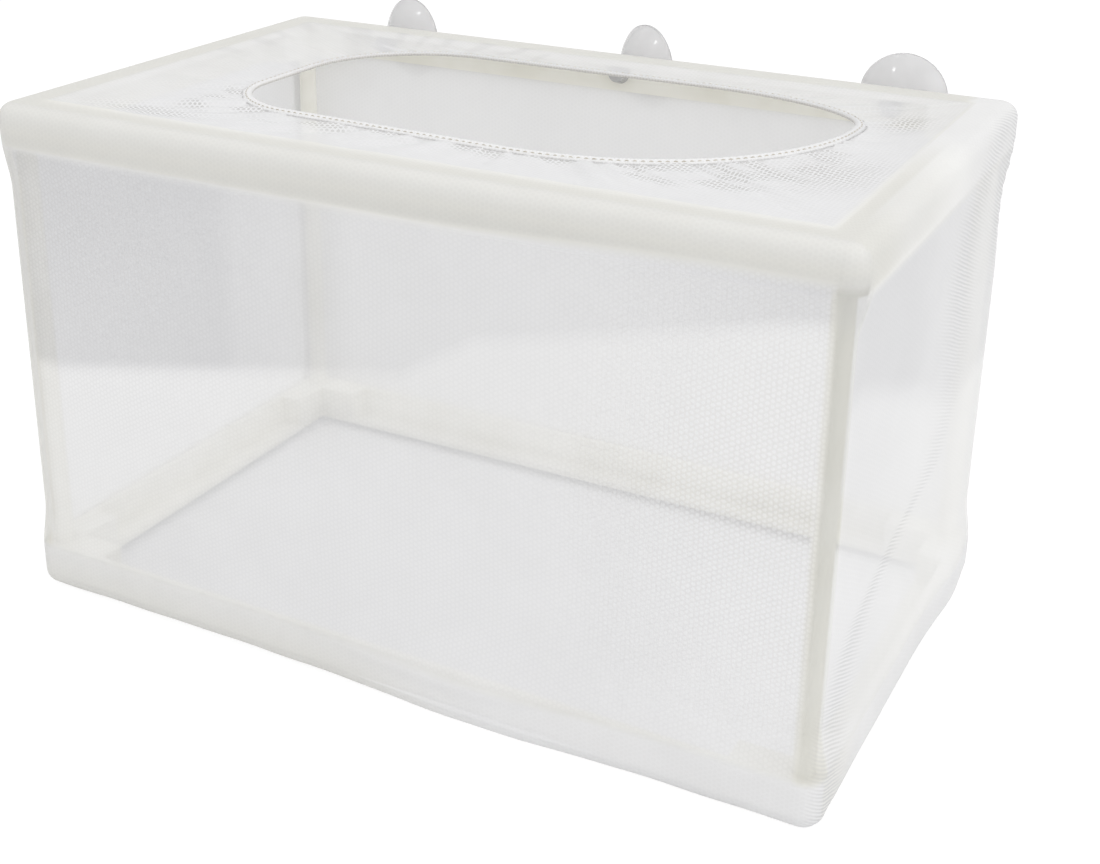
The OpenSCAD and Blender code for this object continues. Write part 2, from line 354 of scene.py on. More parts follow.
def set_uv(obj, rows, columns, u, v, closed_rows=False, closed_columns=False):
    """UV map of a grid, in metres of cloth. u is one value per column edge and v one per row edge, with one
    more value than points where that way is closed."""
    r = np.arange(rows if closed_rows else rows - 1)[:, None]
    c = np.arange(columns if closed_columns else columns - 1)[None, :]
    shape = np.broadcast(r, c).shape
    corners = [(r, c), (r, c + 1), (r + 1, c + 1), (r + 1, c)]
    uv = np.stack([
        np.stack([np.broadcast_to(u[cc], shape), np.broadcast_to(v[rr], shape)], axis=-1) for rr, cc in corners
    ], axis=2)
    layer = obj.data.uv_layers.new(name="cloth")
    layer.data.foreach_set("uv", uv.astype(np.float32).ravel())


def lay_top_uv(obj, points, first_row):
    """Replaces the UV map of a closed grid's faces from that row on by the points' own x and y."""
    rows, columns = points.shape[:2]
    r = np.arange(rows - 1)[:, None]
    c = np.arange(columns)[None, :]
    plan = np.stack([
        points[rr, cc % columns, :2] for rr, cc in ((r, c), (r, c + 1), (r + 1, c + 1), (r + 1, c))], axis=2)
    layer = obj.data.uv_layers["cloth"]
    uv = np.empty(plan.size, np.float32)
    layer.data.foreach_get("uv", uv)
    uv = uv.reshape(plan.shape)
    uv[first_row:] = plan[first_row:]
    layer.data.foreach_set("uv", uv.ravel())


def set_attribute(obj, name, values):
    """A float attribute with one value per vertex."""
    attribute = obj.data.attributes.new(name, "FLOAT", "POINT")
    attribute.data.foreach_set("value", np.asarray(values, np.float32).ravel())


def tube_frames(path):
    """Sideways and upward directions at each point of a closed, nearly level path."""
    ahead = np.roll(path, -1, axis=0) - np.roll(path, 1, axis=0)
    ahead /= np.linalg.norm(ahead, axis=1, keepdims=True)
    outwards = np.cross(ahead, [0.0, 0.0, 1.0])
    outwards /= np.linalg.norm(outwards, axis=1, keepdims=True)
    return outwards, np.cross(outwards, ahead)


def revolve(profile, steps):
    """Turns a profile of (radius, height) points about Z. Returns (rows, steps, 3) points."""
    angle = np.arange(steps) / steps * 2 * np.pi
    radius, height = profile.T
    return np.stack([
        radius[:, None] * np.cos(angle), radius[:, None] * np.sin(angle),
        np.broadcast_to(height[:, None], (len(profile), steps)),
    ], axis=-1)


# Shader building


class Shader:
    """Short calls for adding linked nodes to a material or a group."""

    def __init__(self, tree):
        self.tree = tree

    def add(self, kind, out=0, settings=None, **inputs):
        """A node of that kind. Settings are its properties, inputs its sockets by name or by in_NUMBER."""
        node = self.tree.nodes.new(kind)
        for key, value in (settings or {}).items():
            setattr(node, key, value)
        for key, value in inputs.items():
            socket = node.inputs[int(key[3:])] if key.startswith("in_") else node.inputs[key.replace("_", " ")]
            self.feed(socket, value)
        return node.outputs[out]

    def feed(self, socket, value):
        """Links an output to a socket, or sets the socket's value."""
        if isinstance(value, bpy.types.NodeSocket):
            self.tree.links.new(value, socket)
        else:
            socket.default_value = value

    def math(self, operation, *values, clamp=False):
        sockets = {f"in_{i}": v for i, v in enumerate(values)}
        return self.add("ShaderNodeMath", settings={"operation": operation, "use_clamp": clamp}, **sockets)

    def vector(self, operation, *values, out=0):
        sockets = {f"in_{i}": v for i, v in enumerate(values)}
        return self.add("ShaderNodeVectorMath", out=out, settings={"operation": operation}, **sockets)

    def spread(self, value, from_low, from_high, to_low, to_high, smooth=True):
        kind = "SMOOTHSTEP" if smooth else "LINEAR"
        return self.add(
            "ShaderNodeMapRange", settings={"interpolation_type": kind},
            in_0=value, in_1=from_low, in_2=from_high, in_3=to_low, in_4=to_high)

    def mix_color(self, factor, first, second, blend="MIX"):
        node = self.tree.nodes.new("ShaderNodeMix")
        node.data_type = "RGBA"
        node.blend_type = blend
        self.feed(node.inputs[0], factor)
        self.feed(node.inputs[6], first)
        self.feed(node.inputs[7], second)
        return node.outputs[2]

    def noise(self, place, scale, detail=2.0, roughness=0.5):
        return self.add("ShaderNodeTexNoise", Vector=place, Scale=scale, Detail=detail, Roughness=roughness)

    def group(self, tree, **inputs):
        node = self.tree.nodes.new("ShaderNodeGroup")
        node.node_tree = tree
        for key, value in inputs.items():
            self.feed(node.inputs[key.replace("_", " ")], value)
        return node.outputs

    def bump(self, height, strength, distance):
        return self.add("ShaderNodeBump", Height=height, Strength=strength, Distance=distance)


def new_group(name, inputs, outputs):
    """An empty node group with named sockets. Each is (name, socket type, default)."""
    tree = bpy.data.node_groups.new(name, "ShaderNodeTree")
    for label, kind, default in inputs:
        socket = tree.interface.new_socket(label, in_out="INPUT", socket_type=kind)
        if default is not None:
            socket.default_value = default
    for label, kind in outputs:
        tree.interface.new_socket(label, in_out="OUTPUT", socket_type=kind)
    start = tree.nodes.new("NodeGroupInput")
    end = tree.nodes.new("NodeGroupOutput")
    return tree, Shader(tree), start.outputs, end.inputs


def hex_mesh_group():
    """Knitted net: how near a point of the cloth is to the edge of its hexagonal hole.

    The cloth is cut into two offset lattices of rectangles sqrt 3 by 1, the nearer lattice point is the middle
    of the hole, and the distance to the hole's edge is the larger of |y| and the slanting |y|/2 + |x| sqrt 3 / 2.
    """
    name = "Hexagonal net"
    if name in bpy.data.node_groups:
        return bpy.data.node_groups[name]
    tree, s, given, result = new_group(
        name,
        [("Cloth", "NodeSocketVector", None), ("Pitch", "NodeSocketFloat", 0.001), ("Thread", "NodeSocketFloat", 0.3)],
        [("Thread mask", "NodeSocketFloat"), ("Height", "NodeSocketFloat")])
    wander = s.add("ShaderNodeTexNoise", out=1, Vector=given["Cloth"], Scale=420.0, Detail=1.0)
    wander = s.vector("SUBTRACT", wander, (0.5, 0.5, 0.5))
    scaled = s.vector("DIVIDE", given["Cloth"], s.add(
        "ShaderNodeCombineXYZ", in_0=given["Pitch"], in_1=given["Pitch"], in_2=1.0))
    scaled = s.vector("ADD", scaled, s.vector("MULTIPLY", wander, (0.55, 0.55, 0.0)))
    scaled = s.vector("ADD", scaled, (4000.0, 4000.0, 0.0))
    cell = (math.sqrt(3.0), 1.0, 1.0)
    half = (math.sqrt(3.0) / 2, 0.5, 0.0)
    first = s.vector("SUBTRACT", s.vector("MODULO", scaled, cell), half)
    second = s.vector("SUBTRACT", s.vector("MODULO", s.vector("ADD", scaled, half), cell), half)
    flat = (1.0, 1.0, 0.0)
    first, second = s.vector("MULTIPLY", first, flat), s.vector("MULTIPLY", second, flat)
    nearer = s.math("LESS_THAN", s.vector("LENGTH", first, out=1), s.vector("LENGTH", second, out=1))
    pick = s.tree.nodes.new("ShaderNodeMix")
    pick.data_type = "VECTOR"
    s.feed(pick.inputs[0], nearer)
    s.feed(pick.inputs[4], second)
    s.feed(pick.inputs[5], first)
    away = s.vector("ABSOLUTE", pick.outputs[1])
    across = s.add("ShaderNodeSeparateXYZ", out=1, Vector=away)
    slant = s.vector("DOT_PRODUCT", away, (math.sqrt(3.0) / 2, 0.5, 0.0), out=1)
    edge = s.math("MAXIMUM", across, slant)
    inner = s.math("SUBTRACT", 0.5, s.math("MULTIPLY", given["Thread"], 0.5))
    soft_low = s.math("SUBTRACT", inner, 0.03)
    soft_high = s.math("ADD", inner, 0.03)
    s.feed(result["Thread mask"], s.spread(edge, soft_low, soft_high, 0.0, 1.0))
    s.feed(result["Height"], s.spread(edge, soft_low, 0.5, 0.0, 1.0))
    return tree


def mottle_group():
    """Slow unevenness of a moulded or woven surface: two noises, one broad and one fine."""
    name = "Mottle"
    if name in bpy.data.node_groups:
        return bpy.data.node_groups[name]
    tree, s, given, result = new_group(
        name,
        [("Place", "NodeSocketVector", None), ("Broad", "NodeSocketFloat", 40.0), ("Fine", "NodeSocketFloat", 900.0)],
        [("Broad mask", "NodeSocketFloat"), ("Fine mask", "NodeSocketFloat")])
    s.feed(result["Broad mask"], s.noise(given["Place"], given["Broad"], 3.0))
    s.feed(result["Fine mask"], s.noise(given["Place"], given["Fine"], 2.0))
    return tree


def new_material(name):
    """A material with an empty tree but for its Principled BSDF and output."""
    material = bpy.data.materials.new(name)
    material.use_nodes = True
    tree = material.node_tree
    tree.nodes.clear()
    surface = tree.nodes.new("ShaderNodeBsdfPrincipled")
    output = tree.nodes.new("ShaderNodeOutputMaterial")
    tree.links.new(surface.outputs[0], output.inputs[0])
    return material, Shader(tree), surface


def net_material(name):
    """White nylon net with hexagonal holes.

    The cloth stops light by its attribute cover, plus a part of its attribute open times the thread mask about
    its mean, so that a tight or layered net is even and an open one shows its holes, with painted shade in them.
    Shade above 0 is painted shade, which darkens and cools the cloth, and below 0 painted light, which makes it
    paler. Where the attribute ripple is more than 0, fine ridges lie across the cloth's height, with painted shade
    in their furrows. Where backed is 1 the cloth lies on the frame: no light glows through it, and it takes on the
    plastic's colour. Up to 2 it is drawn round a post and carries a painted shade.
    """
    settings = bpy.context.scene.breeding_box
    net = settings.net
    material, s, surface = new_material(name)
    cloth = s.add("ShaderNodeUVMap", settings={"uv_map": "cloth"})
    net_out = s.group(hex_mesh_group(), Cloth=cloth, Pitch=net.pitch, Thread=net.thread)
    mottle = s.group(mottle_group(), Place=cloth, Broad=55.0, Fine=900.0)
    cover, open_share, ripple, backed, shade = (
        s.add("ShaderNodeAttribute", out=2, settings={"attribute_name": label})
        for label in ("cover", "open", "ripple", "backed", "shade"))
    ridge = s.group(ridge_group(), Cloth=cloth, Wander=mottle["Broad mask"])["Ridge"]
    ridges = s.math("MULTIPLY", ridge, ripple)

    thread_mean = 1.0 - (1.0 - net.thread) ** 2
    threads = s.math("SUBTRACT", net_out["Thread mask"], thread_mean)
    sharing = s.math("ADD", s.math("MULTIPLY", s.math("MAXIMUM", open_share, 0.0), 0.35), s.math(
        "MINIMUM", open_share, 0.0))
    stopped = s.math("ADD", cover, s.math("MULTIPLY", threads, sharing))
    stopped = s.math("ADD", stopped, s.math("MULTIPLY", ridges, 0.08), clamp=True)
    # thin nylon glows through, so less of it counts for the light that goes on to other surfaces
    path = s.tree.nodes.new("ShaderNodeLightPath")
    lighting = s.math("MAXIMUM", path.outputs["Is Shadow Ray"], path.outputs["Is Diffuse Ray"])
    passing = s.math("MULTIPLY", lighting, s.math("MULTIPLY", s.math("SUBTRACT", 1.0, backed, clamp=True), net.glow))
    s.feed(surface.inputs["Alpha"], s.math("MULTIPLY", stopped, s.math("SUBTRACT", 1.0, passing)))

    dull = tuple(c * 0.98 for c in net.color) + (1.0,)
    color = s.mix_color(s.spread(mottle["Broad mask"], 0.35, 0.65, 0.0, 1.0), dull, (*net.color, 1.0))
    ivory = tuple(0.985 * c for c in settings.frame.color) + (1.0,)
    color = s.mix_color(s.math("MULTIPLY", s.math("MINIMUM", backed, 1.0), 0.75), color, ivory)
    # painted shade on the cloth drawn round a post, where backed is above 1
    shaded = tuple(c * k for c, k in zip(settings.frame.color, (0.80, 0.81, 0.83))) + (1.0,)
    color = s.mix_color(s.math("SUBTRACT", backed, 1.0, clamp=True), color, shaded)
    # where open is below 0, the holes are closed to knots with a painted highlight, between threads in painted shade
    knotted = s.math("MULTIPLY", open_share, -1.0, clamp=True)
    valley_shade = tuple(c * 0.8 for c in net.color) + (1.0,)
    color = s.mix_color(s.math("MULTIPLY", knotted, net_out["Thread mask"]), color, valley_shade)
    knots = s.math("MULTIPLY", knotted, s.math("SUBTRACT", 1.0, net_out["Thread mask"]))
    color = s.mix_color(s.math("MULTIPLY", knots, 1.6, clamp=True), color, (1.0, 1.0, 1.0, 1.0))
    # painted shade in the open holes
    holes = s.math("MULTIPLY", s.math("MAXIMUM", open_share, 0.0), s.math("SUBTRACT", 1.0, net_out["Thread mask"]))
    color = s.mix_color(s.math("MULTIPLY", holes, 1.3, clamp=True), color, (0.40, 0.385, 0.36, 1.0))
    # painted shade where shade is above 0, painted light where it is below 0
    cool = tuple(c * k for c, k in zip(net.color, (0.672, 0.674, 0.686))) + (1.0,)
    color = s.mix_color(shade, color, cool)
    color = s.mix_color(s.math("MULTIPLY", shade, -1.0, clamp=True), color, (1.0, 1.0, 1.0, 1.0))
    # painted shade in the furrows between the slack ridges
    furrow_shade = tuple(c * 0.82 for c in net.color) + (1.0,)
    color = s.mix_color(s.math("SUBTRACT", ripple, ridges, clamp=True), color, furrow_shade)
    s.feed(surface.inputs["Base Color"], color)
    s.feed(surface.inputs["Roughness"], s.spread(mottle["Fine mask"], 0.3, 0.7, 0.5, 0.65))
    height = s.math("MULTIPLY", s.math("MULTIPLY", net_out["Height"], open_share), 0.3)
    height = s.math("ADD", height, s.math("MULTIPLY", ridges, 0.35))
    s.feed(surface.inputs["Normal"], s.bump(height, 0.45, 0.25 * MM))
    surface.inputs["Specular IOR Level"].default_value = 0.25
    return material


def ridge_group():
    """Fine slanting ridges of slack cloth: a sine of the height on the cloth plus a part of the way along it,
    bent by a slow noise, from 0 to 1."""
    name = "Slack ridges"
    if name in bpy.data.node_groups:
        return bpy.data.node_groups[name]
    tree, s, given, result = new_group(
        name, [("Cloth", "NodeSocketVector", None), ("Wander", "NodeSocketFloat", 0.5)],
        [("Ridge", "NodeSocketFloat")])
    along = s.vector("DOT_PRODUCT", given["Cloth"], (RIDGE_SLANT, 1.0, 0.0), out=1)
    bent = s.math("ADD", s.math("MULTIPLY", along, 5500.0), s.math("MULTIPLY", given["Wander"], 6.0))
    s.feed(result["Ridge"], s.spread(s.math("SINE", bent), -1.0, 1.0, 0.0, 1.0, smooth=False))
    return tree


# Pieces


def bag_profile_rows():
    """Height and inward distance of the bag's cloth, row by row from the seam under the box to the inner edge
    of the top rails.

    The rows run in under the bottom rail, round its outer edge on a quarter circle, straight up the wall,
    round the top rail's outer edge on another quarter circle, and over the top rail's level flange.
    """
    net = bpy.context.scene.breeding_box.net
    bottom = net.ground_gap
    radius = net.edge_radius
    quarter = np.linspace(0, np.pi / 2, 7)
    under_in = np.linspace(5.6 * MM, radius, 2)[:-1]
    low_arc_in = radius * (1 - np.sin(quarter))
    low_arc_up = bottom + radius * (1 - np.cos(quarter))
    wall = np.linspace(bottom + radius, SIZES.top - radius, 148)[1:-1]
    top_arc_in = radius * (1 - np.cos(quarter))
    top_arc_up = SIZES.top - radius * (1 - np.sin(quarter))
    over_in = np.linspace(radius, SIZES.skin + SIZES.rail_width, 6)[1:]
    inward = np.concatenate([under_in, low_arc_in, np.zeros(len(wall)), top_arc_in, over_in])
    height = np.concatenate([
        np.full(len(under_in), bottom), low_arc_up, wall, top_arc_up, np.full(len(over_in), SIZES.top)])
    return inward, height


def slack_band(x, y, height):
    """How slack each point of the walls is, from 0 to 1, by the columns' x and y and the rows' height.

    On the right wall a band of ridges runs from the top at the back to the bottom at the front: a bell curve
    of the distance from a middle line given by height. The upper end of the back right post is slack too.
    """
    levels = np.array([4, 19, 36, 44, 51, 59, 66, 80, 115, 134, 144, 150, 158]) * MM
    places = np.array([-72, -67, -60, -53, -43, -22, 8, 26, 26, 29, 38, 49, 60]) * MM
    middle = np.interp(height, levels, places)[:, None]
    width = (10 + 4 * smooth_step(height, 45 * MM, 80 * MM))[:, None] * MM
    strength = (1 - 0.7 * np.exp(-(((height - 80 * MM) / (24 * MM)) ** 2)))[:, None]
    right_wall = smooth_step(x, 0.96 * SIZES.half_x, SIZES.half_x)[None, :]
    band = strength * right_wall * np.exp(-(((y[None, :] - middle) / width) ** 2))
    to_post = np.hypot(x - SIZES.half_x, y - SIZES.half_y)[None, :]
    upper = smooth_step(height, 95 * MM, 135 * MM)[:, None] * (x > 0)[None, :]
    return np.maximum(band, upper * np.exp(-((to_post / (20 * MM)) ** 2)))


def bell(x, y, centre_x, centre_y, wide_x, wide_y):
    """Two-way bell curve."""
    return np.exp(-(((x - centre_x) / wide_x) ** 2) - ((y - centre_y) / wide_y) ** 2)


def net_density(points, rim_rows, from_corner):
    """Cover, openness, backing and shade of the bag's cloth at each point.

    Over the rails and posts the net is stretched flat on the plastic and looks even. The front shows its knots, with
    a painted highlight, towards the right and beside the left post, and the top has open patches, most of them in
    front of the mouth. Shade is painted shade above 0 and painted light below 0.
    """
    net = bpy.context.scene.breeding_box.net
    x, y, z = points[:, :, 0], points[:, :, 1] - SIZES.mid_y, points[:, :, 2]
    on_top = np.arange(len(points))[:, None] >= rim_rows
    ring_low = SIZES.frame_bottom + SIZES.rail_height
    front = y < 4 * MM - SIZES.half_y
    right_half = x > 0
    # towards the right the slack front cloth hides more of the top rail's face
    ring_high = SIZES.top - SIZES.rail_height + 3 * MM * front * smooth_step(x, 0, 100 * MM)
    between = smooth_step(z, ring_low - MM, ring_low + 2 * MM) * (1 - smooth_step(z, ring_high - 3 * MM, ring_high + MM))
    at_post = np.where(on_top, 0.0, between) * (1 - smooth_step(from_corner, 6.6 * MM, 8.2 * MM))[None, :]
    round_corner = right_half * (1 - smooth_step(y, 5 * MM - SIZES.half_y, 10 * MM - SIZES.half_y))
    hugged = at_post * np.maximum(front, round_corner) * np.where(right_half, 1.0, 0.85)
    wall = np.where(on_top, 0.0, between)
    wall_open = np.where(
        front, -0.02 - 0.13 * smooth_step(x, 45 * MM, 112 * MM) * smooth_step(z, 8 * MM, 70 * MM)
        * (1 - 0.6 * smooth_step(z, 90 * MM, 140 * MM))
        - 0.08 * bell(x, z, -95 * MM, 120 * MM, 45 * MM, 40 * MM), 0.02)
    back = y > SIZES.half_y - 8 * MM
    wall_cover = np.where(front, net.cover, np.where(back, 0.93, net.cover + 0.14))
    wall_cover = np.where(front & (z > SIZES.top - SIZES.rail_height - MM), 0.93, wall_cover)
    inner = np.maximum(np.abs(x) - SIZES.half_x, np.abs(y) - SIZES.half_y) + SIZES.skin + SIZES.rail_width
    top = np.where(on_top, smooth_step(-inner, 0, 2 * MM), 0.0)
    patches = bell(x, y, -86 * MM, -59 * MM, 13 * MM, 5 * MM) + bell(x, y, 106 * MM, 38 * MM, 5 * MM, 8 * MM)
    patches = patches + 0.8 * bell(x, y, 104 * MM, -22 * MM, 12 * MM, 14 * MM)
    patches = patches + 0.9 * bell(x, y, 69 * MM, -33 * MM, 5 * MM, 4 * MM)
    mouth_x, mouth_y = x - 8 * MM, y - 4 * MM
    by_hem = 1 - smooth_step(np.maximum(np.abs(mouth_x) - 85 * MM, np.abs(mouth_y) - 45 * MM), 4 * MM, 11 * MM)
    scattered = np.sin(x * 190 + 2.0 * np.sin(y * 260 + 1.0)) * np.sin(x * 71 + y * 330 + 0.7)
    patches = patches + by_hem * (y < 0) * smooth_step(scattered, -0.15, 0.5) * 0.75
    patches = np.clip(patches, 0, 1)
    top_open = 0.03 + 0.5 * patches
    open_share = 0.02 + wall * (wall_open - 0.02) + top * (top_open - 0.02)
    # the cloth hangs slack and clear of the lower rails at the right
    lower = (1 - smooth_step(z, ring_low - MM, ring_low + 2 * MM)) * np.where(on_top, 0.0, 1.0)
    clear = lower * np.maximum(
        front * smooth_step(x, -20 * MM, 40 * MM), (x > 0.9 * SIZES.half_x) * smooth_step(y, -70 * MM, -40 * MM))
    upper_clear = (x > 0.9 * SIZES.half_x) * smooth_step(y, -30 * MM, 30 * MM) * (z > SIZES.top / 2)
    upper_clear = 0.85 * upper_clear * np.where(on_top, 0.0, 1.0) * (1 - wall)
    ring_cover = 0.8 + 0.04 * lower + 0.08 * clear + 0.12 * upper_clear
    top_cover = net.cover + 0.1 - 0.1 * patches
    cover = ring_cover + wall * (wall_cover - ring_cover) + top * (top_cover - ring_cover)
    cover = cover + hugged * (0.5 - cover)
    # painted shade: a rail's face is darker towards its lower edge
    upper_face = smooth_step(SIZES.top - z, 2 * MM, SIZES.rail_height) * (1 - between) * (z > SIZES.top / 2)
    lower_face = smooth_step(ring_low - z, 0, SIZES.rail_height + 2 * MM) * lower
    backed = (1 - wall) * (1 - top) * (1 - 0.35 * lower) * (1 - clear) * (1 - upper_clear)
    backed = backed * (1 - 0.35 * front * (z > SIZES.top / 2) * (1 - upper_face))
    backed = backed * (1 - 0.6 * front * lower * (1 - lower_face))
    face_shade = upper_face * (0.25 + 0.25 * smooth_step(x, -60 * MM, 60 * MM))
    backed = backed + front * (face_shade + 0.2 * lower_face * (1 - clear))
    # painted shade on the cloth drawn round the posts, deeper higher up
    backed = np.maximum(backed, (1.35 + 0.45 * smooth_step(z, 25 * MM, 110 * MM)) * hugged)
    # painted shade and painted light on the walls, painted shade of folds over the rear left corner, and painted shade
    # along a crease low on the front
    wall_shading = wall * (1 - hugged) * wall_tone(x, y, z, front)
    around = np.arctan2(y - 20 * MM, x + 60 * MM)
    fold_shade = smooth_step(np.sin(around * 26.0 + 1.2 * np.sin(around * 7.0)), 0.1, 0.9) * (x < -20 * MM) * (y > 10 * MM)
    fold_shade = 0.24 * fold_shade * on_top * (1 - smooth_step(-inner, 4 * MM, 16 * MM))
    crease_level = (12 + 0.0016 * (x / MM - 10) ** 2) * MM
    crease_shade = 0.12 * front * bell(x, z, 20 * MM, crease_level, 45 * MM, 1.6 * MM)
    # painted shadow under the top rail at the front right post
    joint_shadow = 0.45 * right_half * (y < 0) * (1 - smooth_step(from_corner, 3 * MM, 8 * MM))[None, :]
    joint_shadow = joint_shadow * np.exp(-(((z - 143 * MM) / (7 * MM)) ** 2)) * ~on_top
    # painted light on the right top rail's face towards the front
    right_face_light = 0.5 * (x > 0.95 * SIZES.half_x) * (z > SIZES.top - SIZES.rail_height) * (1 - wall) * ~on_top
    right_face_light = right_face_light * smooth_step(y, -65 * MM, -40 * MM) * (1 - smooth_step(y, 0, 25 * MM))
    shade = wall_shading + fold_shade + crease_shade + joint_shadow - right_face_light
    return cover, open_share * (1 - hugged), backed, shade


def wall_tone(x, y, z, front):
    """Tone of the walls' cloth: above 0 it is darker and cooler, below 0 paler.

    On the front and right walls the cloth above a slanting line has a painted shade, most of all beside the left
    post, and below the line, down to where the floor shows through, it has painted light. High on the left wall the
    cloth has a painted shade, and on the back wall painted light.
    """
    def line(at, places, levels):
        return np.interp(at, np.array(places) * MM, np.array(levels) * MM)

    edge = line(x, (-112, -27, 8, 30, 66, 119), (78, 95, 101, 115, 124, 137))
    floor_edge = line(x, (-103, -54, -17, 119), (16, 56, 89, 91))
    above = smooth_step(z, edge - 3 * MM, edge + 4 * MM)
    dark = np.interp(x, np.array((-112, -50, -44, -20, -5, 70, 100, 118)) * MM, (0.68, 0.78, 0.55, 0.45, 0.15, 0.15, 0.3, 0.45))
    pale = (1 - above) * smooth_step(z, floor_edge - 4 * MM, floor_edge + 4 * MM)
    tone = front * (dark * above - 0.55 * pale)
    right = (x > 0.95 * SIZES.half_x) & ~front
    edge = line(y, (-62, -16, 34), (117, 99, 79))
    above = smooth_step(z, edge - 6 * MM, edge + 6 * MM)
    dark = 0.38 * (1 - smooth_step(y, -40 * MM, 20 * MM))
    pale = 0.15 + 0.5 * smooth_step(y, -60 * MM, 10 * MM)
    tone = tone + right * (dark * above - pale * (1 - above))
    tone = tone + 0.4 * (x < 6 * MM - SIZES.half_x) * smooth_step(z, 80 * MM, 120 * MM)
    return tone - 0.25 * (y > SIZES.half_y - 4 * MM)


def even_density(obj, cover, open_share, backed=0.0, shade=0.0):
    """The same cover, openness, backing and tone all over a piece of net, without ridges."""
    count = len(obj.data.vertices)
    for label, value in (("cover", cover), ("open", open_share), ("ripple", 0.0), ("backed", backed), ("shade", shade)):
        set_attribute(obj, label, np.full(count, value))


